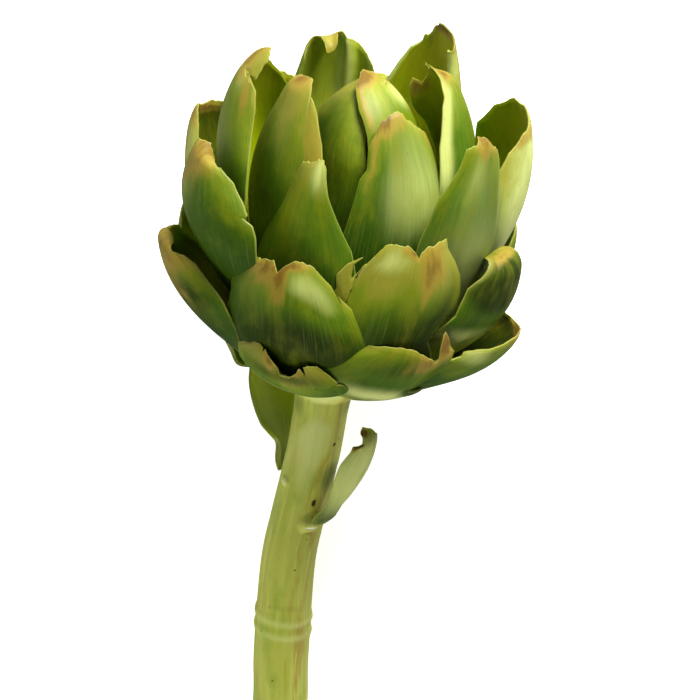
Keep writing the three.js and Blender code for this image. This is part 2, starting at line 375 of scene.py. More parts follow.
bracts = {
    "bud": [
        {"at": 114, "root": (15.6, 21), "tip": (13.6, 84.6),
         "stainsLightAndShade": [(-0.5, 0.95, 0.4, 0.08, 0.7, 0)]},
        {"at": 180, "tip": (11.6, 83)},
        {"at": -122, "tip": (11.4, 83.5)},
        {"at": -58, "tip": (12.4, 87.7), "half": 17, "cup": 72, "yaw": -2,
         "tipLine": [(-1, 0.98), (0, 1.02), (1, 0.98)],
         "stainsLightAndShade": [(-0.1, 0.5, 0.9, 0.5, 0, -1.1)],
         "right": [(0.6, 1), (0.8, 0.75), (0.9, 0.5), (1, 0.35)]},
        {"at": 50, "root": (14.2, 21), "tip": (13.8, 88.4), "half": 17, "cup": 64, "yaw": -4,
         "tipLine": [(-1, 0.97), (-0.4, 1.02), (0, 1.03), (0.4, 1), (0.7, 0.97), (1, 0.95)],
         "left": [(0.4, 0.68), (0.76, 0.68), (0.81, 0.7), (0.875, 0.73), (0.93, 0.67), (0.98, 0.55),
             (1.03, 0.45)],
         "stainsLightAndShade": [(-0.5, 0.99, 0.7, 0.05, 1.4, 0), (-0.85, 0.85, 0.15, 0.12, 0.7, 0),
             (-0.4, 0.88, 0.5, 0.15, 0, 0.4), (0.35, 0.89, 0.3, 0.07, 0.25, 1)],
         "right": [(0.5, 1), (0.8, 1.15), (1, 1.25)]},
    ],
    "top": [
        {"at": 25, "tip": (15, 76), "half": 17.5, "close": 112, "cup": 50, "peak": 0.35,
         "tipLine": [(-1, 0.9), (-0.7, 0.95), (-0.5, 0.985), (-0.1, 1.025), (0.2, 1.03), (0.5, 1),
             (1, 0.95)],
         "left": [(0.5, 0.66), (0.78, 0.6), (0.82, 0.5), (0.9, 0.55), (1, 0.7)],
         "right": [(0.3, 1.1), (0.5, 1.4), (0.8, 1.55), (1, 1.05)],
         "stainsLightAndShade": [(-0.3, 0.99, 0.5, 0.07, 0.9, 0), (-0.75, 0.85, 0.2, 0.15, 0.6, 0),
             (0.3, 0.72, 0.75, 0.3, 0, 0.7), (-0.9, 0.25, 0.4, 0.35, 0, -0.8),
             (0.3, 0.2, 0.5, 0.25, 0, -0.5), (0.9, 0.93, 0.1, 0.06, 0.8, 0)]},
        {"at": -52, "tip": (22, 84.5), "half": 21, "close": 108, "end": 0.36, "side": 1,
         "curl": (0.93, 60, 0, 0.6), "cup": 44,
         "tipLine": [(-1, 0.93), (-0.54, 0.981), (-0.29, 1), (0.02, 1), (0.52, 0.987), (0.63, 0.975),
             (0.66, 0.91), (0.7, 0.95), (0.78, 0.94), (0.89, 0.912), (0.93, 0.881), (1, 0.82)],
         "left": [(0.3, 1), (0.5, 1.1), (0.7, 1.15), (0.8, 1.05), (0.88, 0.8), (1, 0.65)],
         "stainsLightAndShade": [(0, 0.98, 0.5, 0.05, 0.9, 0), (0.85, 0.8, 0.2, 0.14, 0.6, 0.2),
             (-0.5, 0.8, 0.3, 0.2, 0, 0.5), (0, 0.3, 1, 0.25, 0, -0.4)],
         "right": [(0.4, 1), (0.75, 0.96), (0.9, 0.96), (1, 0.92)]},
        {"at": -92, "tip": (29.5, 82), "half": 23, "rise": 62, "close": 121, "cup": 88, "end": 0.6,
         "belly": -1.3,
         "tipLine": [(-1, 0.94), (-0.85, 0.975), (-0.65, 0.985), (-0.45, 1), (-0.3, 1.02), (0, 1.03),
             (0.5, 1.075), (0.9, 1.075), (1, 1.06)],
         "stainsLightAndShade": [(0.3, 1, 0.3, 0.08, 0.9, 0), (0.75, 0.9, 0.12, 0.08, 0.8, 0.2),
             (0.5, 0.95, 0.2, 0.05, 0.2, 0.6), (0, 0.3, 1, 0.25, 0, -0.3), (0.2, 0.65, 0.6, 0.2, 0, 0.6)],
         "left": [(0.4, 1), (0.7, 1.12), (1, 1.1)],
         "right": [(0.5, 1), (0.8, 0.93), (0.887, 0.9), (0.945, 0.82), (0.96, 0.76), (0.966, 0.5),
             (0.972, 0.5), (0.981, 0.69), (1.019, 0.65), (1.037, 0.59), (1.075, 0.56)]},
        {"at": -156, "tip": (27, 83.3), "half": 16, "end": 0.6, "curl": (0.93, 85, 0.2, 0.35), "side": 1,
         "roll": (0, 110, 0.3), "rollAt": 0.53, "inside": 0.4,
         "tipLine": [(-1, 0.93), (-0.6, 0.965), (-0.32, 0.99), (-0.1, 1), (0.05, 1.05), (0.4, 1.06),
             (0.5, 1), (0.6, 0.985), (0.8, 0.96), (1, 0.9)],
         "left": [(0.5, 1.1), (0.75, 1.25), (0.9, 1.3), (0.96, 1.2), (1, 1.15)],
         "right": [(0.4, 1), (0.6, 0.88), (0.82, 0.82), (1, 0.8)],
         "folds": [(-0.4, 2.2, 0.2, 0.6)],
         "stainsLightAndShade": [(-0.35, 0.85, 0.12, 0.25, 0, 1.3), (0.2, 1, 0.3, 0.05, 0.5, 0.6),
             (0.8, 0.8, 0.15, 0.3, 0.3, 0.4), (-0.95, 0.8, 0.12, 0.3, 0, 1.2)]},
        {"at": 98, "tip": (17, 85), "close": 128, "cup": 74, "curl": (0.94, 70, 0.3, 0.5), "inside": 0.3,
         "tipLine": [(-1, 1.08), (-0.5, 1.05), (-0.1, 1.02), (0.3, 1), (0.45, 1.01), (0.58, 1.02),
             (0.64, 0.975), (0.79, 0.944), (0.83, 0.965), (0.9, 0.985), (1, 0.965)],
         "left": [(0.5, 1), (0.72, 0.99), (0.787, 0.99), (0.87, 0.89), (0.92, 0.79), (0.945, 0.66),
             (0.97, 0.64), (1.005, 0.55), (1.07, 0.48)],
         "right": [(0.4, 1.05), (0.56, 1.12), (0.74, 1.3), (0.875, 1.62), (1, 1.75)],
         "stainsLightAndShade": [(-0.3, 1.02, 0.6, 0.05, 1.3, 0), (-0.9, 0.8, 0.16, 0.25, 0, 1.3),
             (0.9, 0.95, 0.25, 0.06, 0.9, 0), (-0.75, 0.95, 0.3, 0.08, 0, 0.7)]},
        {"at": 147, "tip": (27, 88), "half": 20, "end": 0.6, "roll": (110, 0, 0.3), "rollAt": 0.85,
         "tipLine": [(-1, 1), (-0.55, 1.04), (-0.07, 1.03), (0.5, 1), (1, 0.95)],
         "left": [(0.4, 1), (0.7, 1.15), (0.9, 1.25), (1.04, 1.1)],
         "right": [(0.4, 1), (0.7, 0.87), (0.775, 0.82), (0.844, 0.74), (0.906, 0.61), (0.928, 0.46),
             (0.94, 0.41), (0.956, 0.4), (0.981, 0.34), (1.03, 0.28)],
         "stainsLightAndShade": [(-0.9, 0.9, 0.2, 0.25, 0, 1.2), (0, 1.03, 0.8, 0.03, 0.9, 0),
             (1, 0.75, 0.08, 0.3, 0, 1.4)]},
    ],
    "upper": [
        {"at": -18, "tip": (31, 69), "half": 15, "end": 0.36,
         "tipLine": [(-1, 0.975), (-0.4, 0.985), (0, 1), (0.6, 1.006), (1, 0.985)],
         "left": [(0.15, 1), (0.3, 1.15), (0.66, 1.2), (0.8, 1.2), (1, 1.1)],
         "right": [(0.5, 1), (0.69, 0.9), (0.82, 0.64), (0.89, 0.48), (0.95, 0.42), (1, 0.4)],
         "stainsLightAndShade": [(-0.9, 0.88, 0.25, 0.16, 0.9, 0), (0.4, 0.97, 0.6, 0.1, 0, 1.1),
             (0, 0.4, 1, 0.3, 0, -0.7)]},
        {"at": 58, "tip": (34, 77), "half": 17, "curl": (0.95, 60, 0, 0.4), "rise": 52,
         "tipLine": [(-1, 0.97), (-0.6, 0.982), (-0.35, 1.006), (0.07, 1), (0.39, 0.95), (0.7, 0.92),
             (1, 0.86)],
         "left": [(0.15, 1), (0.3, 0.82), (0.6, 0.93), (0.8, 0.9), (0.91, 0.7), (0.97, 0.66), (1, 0.6)],
         "stainsLightAndShade": [(-0.1, 0.98, 0.4, 0.06, 0.9, 0), (0.55, 0.78, 0.12, 0.16, 0.5, 0.4),
             (-0.1, 0.45, 1, 0.4, 0, 0.7), (-0.3, 0.9, 0.4, 0.1, 0, 0.4)]},
        {"at": 102, "tip": (38.3, 77.5), "half": 21, "rise": 50, "close": 110, "cup": 66, "end": 0.6,
         "tipLine": [(-1, 0.8), (-0.93, 0.84), (-0.82, 0.89), (-0.4, 0.93), (-0.1, 0.95), (0.2, 0.975),
             (0.6, 0.985), (0.91, 0.96), (1, 0.95)],
         "right": [(0.5, 1), (0.7, 1.2), (0.85, 1.3), (0.94, 1.1), (1, 1)],
         "stainsLightAndShade": [(-0.3, 0.7, 0.5, 0.35, 0, 1.6), (-0.5, 0.92, 0.5, 0.04, 0.9, 0.3)]},
        {"at": 142, "tip": (38, 64)},
        {"at": 180, "tip": (38, 68)},
        {"at": -142, "tip": (38, 68)},
        {"at": -108, "tip": (43.6, 62), "rise": 58, "close": 98, "half": 17, "belly": -1, "inside": -1,
         "tipLine": [(-1, 1.03), (-0.5, 1.02), (-0.15, 1), (0.35, 1.02), (0.69, 1.044), (0.95, 1.025),
             (1.2, 0.981), (1.29, 0.91)],
         "right": [(0.4, 1), (0.7, 1.2), (0.91, 1.29), (0.98, 1.2), (1.03, 0.9)],
         "stainsLightAndShade": [(0.8, 0.8, 0.3, 0.25, 0.3, 0.7), (0, 0.99, 1, 0.03, 0.8, 0)]},
        {"at": -64, "tip": (41, 65.4), "half": 20, "rise": 48, "close": 119, "cup": 50, "yaw": 0,
         "belly": -1.8, "curl": (0.92, 110, 0.3, 0.5),
         "tipLine": [(-1, 0.9), (-0.62, 0.97), (-0.23, 1), (0.19, 1.006), (0.39, 1), (0.58, 0.987),
             (0.84, 0.975), (1, 0.93)],
         "right": [(0.4, 1.03), (0.62, 1.16), (0.71, 1.2), (0.755, 1.1), (0.77, 1.2), (0.84, 1.24),
             (0.86, 1.24), (0.93, 1.14), (1, 0.92)],
         "stainsLightAndShade": [(0.1, 0.95, 0.5, 0.1, 0.9, 0), (-0.2, 0.82, 0.3, 0.1, 0.5, 0.3),
             (0.3, 1, 0.4, 0.05, 0, 0.8), (0.2, 0.65, 0.7, 0.2, 0, 0.6), (0.3, 0.62, 0.4, 0.16, 0, -0.6)]},
    ],
    "middle": [
        {"at": -16, "tip": (39, 44), "side": -2, "yaw": 0, "cup": 50,
         "tipLine": [(-1, 0.93), (-0.93, 0.97), (-0.85, 0.985), (-0.7, 0.987), (-0.64, 1), (-0.49, 1.012),
             (-0.34, 1.02), (-0.27, 0.99), (-0.2, 0.965), (-0.12, 0.994), (0.03, 1.03), (0.24, 1.05),
             (0.56, 1.037), (0.75, 0.99), (0.85, 0.94), (0.87, 0.82), (0.89, 0.88), (1, 0.8)],
         "left": [(0.6, 0.95), (0.7, 1), (0.78, 1.2), (0.85, 1.24), (0.92, 1.2), (0.97, 1.08)],
         "stainsLightAndShade": [(-0.45, 0.95, 0.3, 0.1, 0.9, 0), (-0.1, 0.9, 0.12, 0.12, 0.9, 0),
             (0.3, 0.92, 0.35, 0.09, 0, 0.9), (0.62, 0.8, 0.25, 0.12, 0, 0.7),
             (0.1, 1.02, 0.25, 0.03, 0.8, 0), (0, 0.4, 1.3, 0.3, 0, -1.2),
             (0.2, 0.65, 0.6, 0.15, 0, -0.5)]},
        {"at": 27, "tip": (38, 52), "half": 21, "roll": (-40, 0, 0.2), "rollAt": 0.5,
         "tipLine": [(-1.2, 0.93), (-0.98, 0.956), (-0.9, 0.9), (-0.8, 0.845), (-0.77, 0.86), (-0.88, 0.92),
             (-0.85, 0.99), (-0.69, 1.025), (-0.46, 1.031), (-0.23, 1.025), (-0.09, 1.006), (0.02, 0.969),
             (0.06, 0.994), (0.2, 1.019), (0.29, 1.025), (0.55, 1.037), (0.8, 1.037), (0.94, 0.97),
             (1, 0.93)],
         "left": [(0.6, 0.95), (0.78, 1.04), (0.85, 1.18), (0.91, 1.16), (0.96, 1)],
         "stainsLightAndShade": [(0.35, 0.93, 0.28, 0.09, 1, 0), (0.2, 0.82, 0.1, 0.1, 0.6, 0),
             (-0.4, 0.95, 0.35, 0.08, 0, 0.9), (-0.1, 1, 0.15, 0.03, 0.7, 0),
             (0.2, 0.45, 1.1, 0.3, 0, -1.3), (0.8, 0.7, 0.4, 0.25, 0, -0.6)],
         "right": [(0.2, 0.7), (0.55, 0.32), (0.61, 0.39), (0.675, 0.52), (0.706, 0.71), (0.762, 0.85),
             (0.84, 0.99), (0.97, 0.95)]},
        {"at": 67, "tip": (43, 48.5), "half": 19, "rise": 37, "close": 98, "curl": (0.88, 80, 0.1, 0.8),
         "tipLine": [(-1, 1), (-0.6, 1.06), (0.1, 1.08), (0.5, 1.05), (1, 0.92)],
         "left": [(0.4, 0.85), (0.64, 0.76), (0.84, 0.86), (0.9, 0.76), (1, 0.6)],
         "stainsLightAndShade": [(0, 0.99, 0.6, 0.03, 0.7, -0.3), (-0.2, 0.84, 0.9, 0.18, 0.2, -1.8),
             (-0.2, 0.35, 1, 0.25, 0, 1.3)]},
        {"at": 110, "tip": (43, 44), "half": 18},
        {"at": 154, "tip": (42, 46)},
        {"at": -156, "tip": (42, 46), "yaw": -8},
        {"at": -114, "tip": (44, 38), "half": 18, "rise": 30},
        {"at": -77, "tip": (46.5, 36), "root": (19, 4.5), "half": 19, "rise": 36, "close": 84, "yaw": 2,
         "belly": -1.5, "curl": (0.97, 60, 0, 1),
         "tipLine": [(-1, 0.95), (-0.5, 1.05), (0, 1.08), (0.3, 1.06), (0.6, 1.04), (0.77, 1.03),
             (0.82, 0.95), (0.86, 1), (1, 0.93)],
         "right": [(0.2, 1), (0.36, 1.2), (0.93, 1.2), (1.03, 0.98)],
         "stainsLightAndShade": [(0.1, 0.95, 0.9, 0.12, 0.9, -0.3), (0.2, 0.7, 0.7, 0.15, 0.5, -1.2),
             (0, 0.4, 1, 0.25, 0, -0.9)]},
    ],
    "lower": [
        {"at": -20, "tip": (37, 20), "yaw": 3, "rise": 25,
         "tipLine": [(-1, 0.93), (-0.8, 1.03), (-0.53, 1.06), (-0.42, 1.045), (-0.37, 0.99), (-0.33, 1.03),
             (-0.15, 0.96), (0.05, 0.89), (0.08, 0.8), (0.26, 0.8), (0.45, 0.87), (0.56, 0.925),
             (0.62, 0.85), (0.68, 0.95), (0.8, 0.955), (1, 0.94)],
         "left": [(0.2, 0.8), (0.5, 0.72), (0.7, 0.85), (0.81, 1)],
         "right": [(0.5, 1), (0.6, 0.97), (0.63, 0.85), (0.66, 0.93), (0.8, 0.96)],
         "stainsLightAndShade": [(-0.12, 0.93, 0.16, 0.09, 1, 0), (0.4, 0.88, 0.2, 0.06, 1, 0),
             (0.1, 0.78, 1, 0.14, 0, -0.9), (-0.5, 0.4, 0.8, 0.2, 0, 0.7)]},
        {"at": 32, "tip": (39, 25.5), "half": 21.5, "cup": 42, "yaw": 5, "rise": 24,
         "tipLine": [(-1.16, 0.93), (-1.06, 1.006), (-0.76, 1.05), (-0.38, 1.05), (-0.11, 1.031),
             (0.15, 0.994), (0.39, 0.944), (0.5, 0.9), (0.56, 0.93), (0.64, 1), (0.72, 1.1), (0.8, 1.13),
             (0.96, 1.06), (1, 1), (1.3, 0.9)],
         "left": [(0.5, 1), (0.77, 1.09), (0.83, 1.11), (0.93, 1.16), (1.03, 1)],
         "right": [(0.2, 0.9), (0.35, 0.45), (0.47, 0.2), (0.575, 0.12), (0.63, 0.2), (0.725, 0.3),
             (0.775, 0.42), (0.82, 0.55), (0.86, 0.72), (0.92, 0.92), (1.1, 0.92)],
         "stainsLightAndShade": [(0.8, 1.04, 0.25, 0.12, 1.5, 0.2), (0.3, 0.9, 0.35, 0.08, 0.8, -0.4),
             (-0.2, 0.85, 0.5, 0.14, 0.2, -0.6), (-0.1, 0.42, 0.8, 0.2, 0, 1)]},
        {"at": 78, "tip": (46.1, 24.8), "root": (17, 0.5), "half": 19, "rise": 32, "close": 70,
         "belly": -0.7, "peak": 0.66, "inside": -0.8,
         "right": [(0.6, 1), (0.85, 1.2), (1, 1.35)],
         "stainsLightAndShade": [(0.5, 0.98, 0.6, 0.05, 1.2, 0), (-0.8, 0.85, 0.3, 0.12, 0, 0.8),
             (0.75, 0.8, 0.5, 0.3, 0.35, -0.9)],
         "left": [(0.45, 1.2), (0.6, 1.25), (0.7, 1.1), (0.8, 1.05), (0.9, 1.2), (1, 1.25)]},
        {"at": 126, "tip": (36, 17), "rise": 6},
        {"at": 172, "tip": (32, 15), "rise": 0},
        {"at": -142, "tip": (33, 16), "rise": 0},
        {"at": -98, "tip": (27, 7), "root": (17.2, 1), "half": 13, "rise": 4, "close": 50},
    ],
}

# peak: where the blade is widest. side: how far its tip swings aside. reach: length of the rib's handles.
# rollAt: where across the blade a roll starts. dry, dryReach: browning at the tip, and how far it reaches.
# rootWide, rootCup: width and wrap at the root. wavy, fray: height of the waves and of the worn edge.
# thick, edgeThick: thickness at root and tip, and its share at the side edges.
bladeDefaults = {
    "peak": 0.5, "yaw": 0, "side": 0, "reach": 0.42, "tipLine": [], "left": [], "right": [],
    "belly": 0, "folds": [], "stainsLightAndShade": [], "curl": (0.9, 12, 0, 1.5), "roll": (0, 0, 0.6), "rollAt": 0.8,
    "inside": 0, "dry": 0.5, "dryReach": 3.0, "rootWide": 0.42, "rootCup": 30, "wavy": 0.3, "fray": 0.006,
    "thick": (2.2, 1.0), "edgeThick": 0.65, "columns": 44, "rows": 84,
}


# What all the blades share. The From pairs say where along the blade a thing starts and is full.
bladeDetail = {
    "gather": 0.5, "crowd": 1.3, "apart": 0.012, "within": 0.99,  # how columns and rows are spaced
    "edgesFrom": (0.02, 0.2), "endFray": (9, 34), "sideFray": (22, 0.5), "frayShare": 0.6,  # worn edges
    "ripples": (2.4, 5.5), "ripplesFrom": (0.15, 0.9), "rippleRise": (0.5, 1.3),  # soft waves
    "flutes": (15, 1.2), "flutesFrom": (0.1, 0.4), "fluteShare": 0.25, "foldFade": 0.2,
    "arc": 1.08,  # how much longer the rib is than a straight line
    "rimWidth": 1.3, "rimThin": 0.42, "rimSink": 0.3, "innerShare": 0.9,  # how the rim thins
    "dryFrom": (0.88, 1), "drySides": 0.5,
    "noiseStep": (37.0, 211), "innerDepth": 9.0, "ownPace": 2.7,  # each bract reads other noise
}
leastAngle = 1e-3  # in radians: a flatter arc can't be worked out


def bentEnough(angle):
    return np.where(np.abs(angle) < leastAngle, leastAngle, angle)


def outline(s, blade):
    widening = lerp(blade["rootWide"], 1, np.sin(math.pi / 2 * np.minimum(s / blade["peak"], 1)))
    past = np.clip((s - blade["peak"]) / (1 - blade["peak"]), 0, 1)
    return np.where(s < blade["peak"], widening, lerp(blade["end"], 1, np.cos(math.pi / 2 * past)))


# Where the blade ends along the line at q, which runs from -1 at its left edge to 1 at its right.
def endAt(q, blade, seed):
    ends = 1 - blade["crown"] * q * q
    if blade["tipLine"]:
        ends = np.interp(q, *zip(*blade["tipLine"]))
    coarse, fine = bladeDetail["endFray"]
    fineFray = waves(q * fine, q * 0, seed + 1, 2)
    return ends + blade["fray"] * (waves(q * coarse, q * 0, seed, 3) + bladeDetail["frayShare"] * fineFray)


# Radius, height and slope of the rib. Past the start of the curl it runs on as an arc.
def ribAt(q, s, blade):
    start, finish = np.array(blade["root"], float), np.array(blade["tip"], float)
    pull = blade["reach"] * np.linalg.norm(finish - start)
    rise, close = math.radians(blade["rise"]), math.radians(blade["close"])
    first = start + pull * np.array([math.cos(rise), math.sin(rise)])
    second = finish - pull * np.array([math.cos(close), math.sin(close)])
    curlStart, angle, middle, spread = blade["curl"]

    def curve(t):
        t = np.asarray(t, float)[..., None]
        u = 1 - t
        place = u**3 * start + 3 * u**2 * t * first + 3 * u * t * t * second + t**3 * finish
        speed = 3 * (u**2 * (first - start) + 2 * u * t * (second - first) + t * t * (finish - second))
        return place, speed

    place, speed = curve(np.minimum(s, curlStart))
    heading = np.arctan2(speed[..., 1], speed[..., 0])
    _, speedThere = curve(curlStart)
    length = np.linalg.norm(speedThere) * (1 - curlStart)
    bend = close - math.atan2(speedThere[1], speedThere[0])
    bend = bentEnough(bend + math.radians(angle) * bell(q, middle, spread))
    turned = bend * np.maximum(s - curlStart, 0) / (1 - curlStart)
    radius = place[..., 0] + length / bend * (np.sin(heading + turned) - np.sin(heading))
    height = place[..., 1] - length / bend * (np.cos(heading + turned) - np.cos(heading))
    return radius, height, heading + turned


# Points halfway through the blade, and the way that its outer face looks there.
def bladePoints(q, s, blade):
    radius, height, heading = ribAt(q, s, blade)
    at, yaw = math.radians(blade["at"]), math.radians(-blade["yaw"])
    out = np.array([math.sin(at), -math.cos(at), 0])
    right = np.array([math.cos(at), math.sin(at), 0])
    up = np.array([0, 0, 1.0])
    along = np.cos(heading)[..., None] * out + np.sin(heading)[..., None] * up
    faceFlat = np.sin(heading)[..., None] * out - np.cos(heading)[..., None] * up
    across = math.cos(yaw) * right + math.sin(yaw) * np.cross(along, right)
    face = math.cos(yaw) * faceFlat + math.sin(yaw) * np.cross(along, faceFlat)

    wide = blade["half"] * outline(s, blade)
    wrap = np.radians(lerp(blade["rootCup"], blade["cup"], smooth(s)))
    leftRoll, rightRoll, rollStart = blade["roll"]
    roll = np.radians(np.where(q < 0, leftRoll, rightRoll)) * smooth(s, rollStart, 1)
    flat = np.minimum(np.abs(q), blade["rollAt"])
    over = np.maximum(np.abs(q) - blade["rollAt"], 0)
    tight = bentEnough(wrap + roll / (1 - blade["rollAt"]))
    angle = wrap * flat + tight * over
    aside = np.sin(wrap * flat) / wrap + (np.sin(angle) - np.sin(wrap * flat)) / tight
    back = (np.cos(wrap * flat) - 1) / wrap + (np.cos(angle) - np.cos(wrap * flat)) / tight
    sign = np.sign(q)
    place = radius[..., None] * out + height[..., None] * up
    place = place + (blade["belly"] * 4 * s * (1 - s))[..., None] * faceFlat
    place = place + (sign * wide * aside)[..., None] * across + (wide * back)[..., None] * face
    place = place + (blade["side"] * s * s)[..., None] * right
    normal = np.cos(angle)[..., None] * face + (sign * np.sin(angle))[..., None] * across
    return place, normal


def gridFaces(rows, columns, first, flip):
    corner = first + np.arange(columns - 1)[:, None] * rows + np.arange(rows - 1)[None, :]
    quads = np.stack([corner, corner + rows, corner + rows + 1, corner + 1], -1).reshape(-1, 4)
    return quads[:, ::-1] if flip else quads


# The blade as a sheet of points: columns run across it at q, rows along it at s.
def bladeSheet(blade, seed):
    even = np.linspace(-1, 1, blade["columns"] + 1)
    lines = list(lerp(even, np.sin(math.pi / 2 * even), bladeDetail["gather"]))
    corners = [q for q, _ in blade["tipLine"] if abs(q) < bladeDetail["within"]]
    lines = [q for q in lines if abs(q) == 1 or all(abs(q - c) > bladeDetail["apart"] for c in corners)]
    lines = np.array(sorted(set(lines + corners)))
    steps = 1 - (1 - np.linspace(0, 1, blade["rows"] + 1)) ** bladeDetail["crowd"]
    ends = endAt(lines, blade, seed)
    q = np.repeat(lines[:, None], len(steps), 1)
    s = ends[:, None] * steps[None, :]

    # the side edges, with a little fray
    widths = np.ones_like(s)
    for side, edge in ((-1, blade["left"]), (1, blade["right"])):
        if edge:
            widths = np.where(q * side > 0, np.interp(s, *zip(*edge)), widths)
    pace, loss = bladeDetail["sideFray"]
    fray = waves(s * pace, 0 * s + np.sign(q), seed + 2, 3) - loss
    widths = widths + bladeDetail["frayShare"] * blade["fray"] * fray
    worn = q * lerp(1, widths, smooth(s, *bladeDetail["edgesFrom"]))
    place, normal = bladePoints(worn, s, blade)

    # soft waves in the blade, stronger towards the edges and the tip
    across, along = bladeDetail["ripples"]
    ripple = waves(q * across, s * along, seed + 3) * smooth(s, *bladeDetail["ripplesFrom"])
    ripple = ripple * lerp(*bladeDetail["rippleRise"], q * q)
    across, along = bladeDetail["flutes"]
    flutes = waves(q * across, s * along, seed + 4, 1) * smooth(s, *bladeDetail["flutesFrom"])
    lift = blade["wavy"] * (ripple + bladeDetail["fluteShare"] * flutes)
    for across, depth, half, start in blade["folds"]:
        full = start + bladeDetail["foldFade"]
        lift = lift - depth * smooth(hump(q, across, half)) * smooth(s, start, full)
    place = place + lift[..., None] * normal

    wide = blade["half"] * outline(s, blade)
    length = math.dist(blade["root"], blade["tip"]) * bladeDetail["arc"]
    rim = np.minimum((1 - np.abs(q)) * wide, (ends[:, None] - s) * length)
    thin = lerp(bladeDetail["rimThin"], 1, smooth(rim, 0, bladeDetail["rimWidth"]))
    solid = lerp(*blade["thick"], s) * lerp(1, blade["edgeThick"], q * q)
    outer = place + (solid / 2 - bladeDetail["rimSink"] * (1 - thin))[..., None] * normal
    inner = outer - (solid * bladeDetail["innerShare"] * thin)[..., None] * normal
    return ends, q, s, outer, inner, rim, length


def addBlade(name, given, material, seed):
    blade = bladeDefaults | given
    ends, q, s, outer, inner, rim, length = bladeSheet(blade, seed)
    nearTip = np.exp(-(ends[:, None] - s) * length / blade["dryReach"])
    brown = blade["dry"] * nearTip * smooth(s, *bladeDetail["dryFrom"])
    brown = brown * (1 - bladeDetail["drySides"] * q * q)
    pale = np.zeros_like(s)
    # The stains brown the blade. Their paling is mostly painted light, with some of its own paler parts,
    # and painted shade where below zero.
    for across, along, reachAcross, reachAlong, browning, paling in blade["stainsLightAndShade"]:
        spot = np.exp(-(((q - across) / reachAcross) ** 2) - ((s - along) / reachAlong) ** 2)
        brown = brown + browning * spot
        pale = pale + paling * spot

    # the blade laid flat, where the noise is read, and its inner face deeper in it
    step, span = bladeDetail["noiseStep"]
    shift = step * seed % span
    flatOut = np.stack([q * blade["half"] + shift, s * length, 0 * s + shift], -1)
    grain = np.concatenate([flatOut, flatOut + (0, 0, bladeDetail["innerDepth"])])
    own = np.full_like(s, math.sin(seed * bladeDetail["ownPace"]))
    reach = np.stack([s / ends[:, None], rim, own], -1)
    # paint: browning, paleness with its painted light and shade, and which face is outside; the inner face
    # gets its own painted light and shade
    paint = np.concatenate([
        np.stack([brown, pale + blade["inside"] * (1 - side), 0 * s + side], -1) for side in (1, 0)
    ])

    # both faces, and a band round the rim that joins them
    columns, rows = q.shape
    count = rows * columns
    faces = [gridFaces(rows, columns, 0, False), gridFaces(rows, columns, count, True)]
    loop = [i * rows for i in range(columns - 1)] + [(columns - 1) * rows + j for j in range(rows - 1)]
    loop += [i * rows + rows - 1 for i in range(columns - 1, 0, -1)] + list(range(rows - 1, 0, -1))
    loop = np.array(loop)
    after = np.roll(loop, -1)
    faces.append(np.stack([after, loop, loop + count, after + count], -1))
    points = np.concatenate([outer.reshape(-1, 3), inner.reshape(-1, 3)])
    facts = {
        "grain": grain.reshape(-1, 3),
        "paint": paint.reshape(-1, 3),
        "reach": np.concatenate([reach, reach]).reshape(-1, 3),
    }
    addPiece(name + "_skin", points, np.concatenate(faces).tolist(), facts, material, name)


seeds = {"bracts": 10, "step": 10, "stalkLeaves": 700, "stalk": 901}

seed = seeds["bracts"]
for ringName, ring in bracts.items():
    for number, bract in enumerate(ring, 1):
        material = budMaterial if ringName == "bud" else bractMaterial
        addBlade(f"{ringName}_bract_{number}", ringShapes[ringName] | bract, material, seed)
        seed += seeds["step"]
    print(ringName, "bracts made")


stalkLeaves = {
    "left": {
        "at": -128, "root": (8.2, -29), "tip": (24, -2), "rise": 66, "close": 64,
        "half": 9.5, "cup": 45, "peak": 0.7,
        "left": [(0, 0.3), (0.3, 0.6), (0.58, 0.93), (1, 1)],
        "right": [(0, 0.3), (0.22, 0.32), (0.39, 0.85), (0.64, 1.05), (0.84, 0.95)],
        "stainsLightAndShade": [(1, 0.12, 0.4, 0.12, 0, 1.7), (-0.3, 0.3, 0.8, 0.25, 0, -0.4)],
    },
    "right": {
        "at": 34, "root": (7.0, -37.2), "tip": (19.8, -6.4), "rise": 44, "close": 78,
        "half": 5.6, "cup": 40, "peak": 0.62, "side": 2.6, "crown": 0.1, "curl": (0.9, 70, 0, 1),
        "tipLine": [(-1, 1.02), (-0.3, 1.05), (0.5, 1.02), (1, 0.98)],
        "left": [
            (0, 0.9), (0.15, 0.8), (0.35, 0.68), (0.55, 0.8), (0.75, 0.9), (0.86, 0.8), (0.9, 0.88),
            (0.915, 0.35), (0.97, 0.45), (1, 0.8),
        ],
        "right": [(0, 1), (0.15, 0.5), (0.3, 0.2), (0.45, 0.4), (0.65, 0.85), (0.8, 1), (1, 1)],
        "stainsLightAndShade": [
            (0, 0.65, 2, 0.5, 0, 1.2), (-0.5, 1, 0.6, 0.03, 1.6, 0), (-0.9, 0.9, 0.25, 0.03, 1.6, 0),
        ],
    },
}
stalkLeafShape = {"reach": 0.4, "end": 0.5, "crown": 0.2, "columns": 30, "rows": 60, "dry": 0.3}

seed = seeds["stalkLeaves"]
for leafName, leaf in stalkLeaves.items():
    addBlade(f"stalk_leaf_{leafName}", stalkLeafShape | leaf, bractMaterial, seed)
    seed += seeds["step"]
print("stalk leaves made")

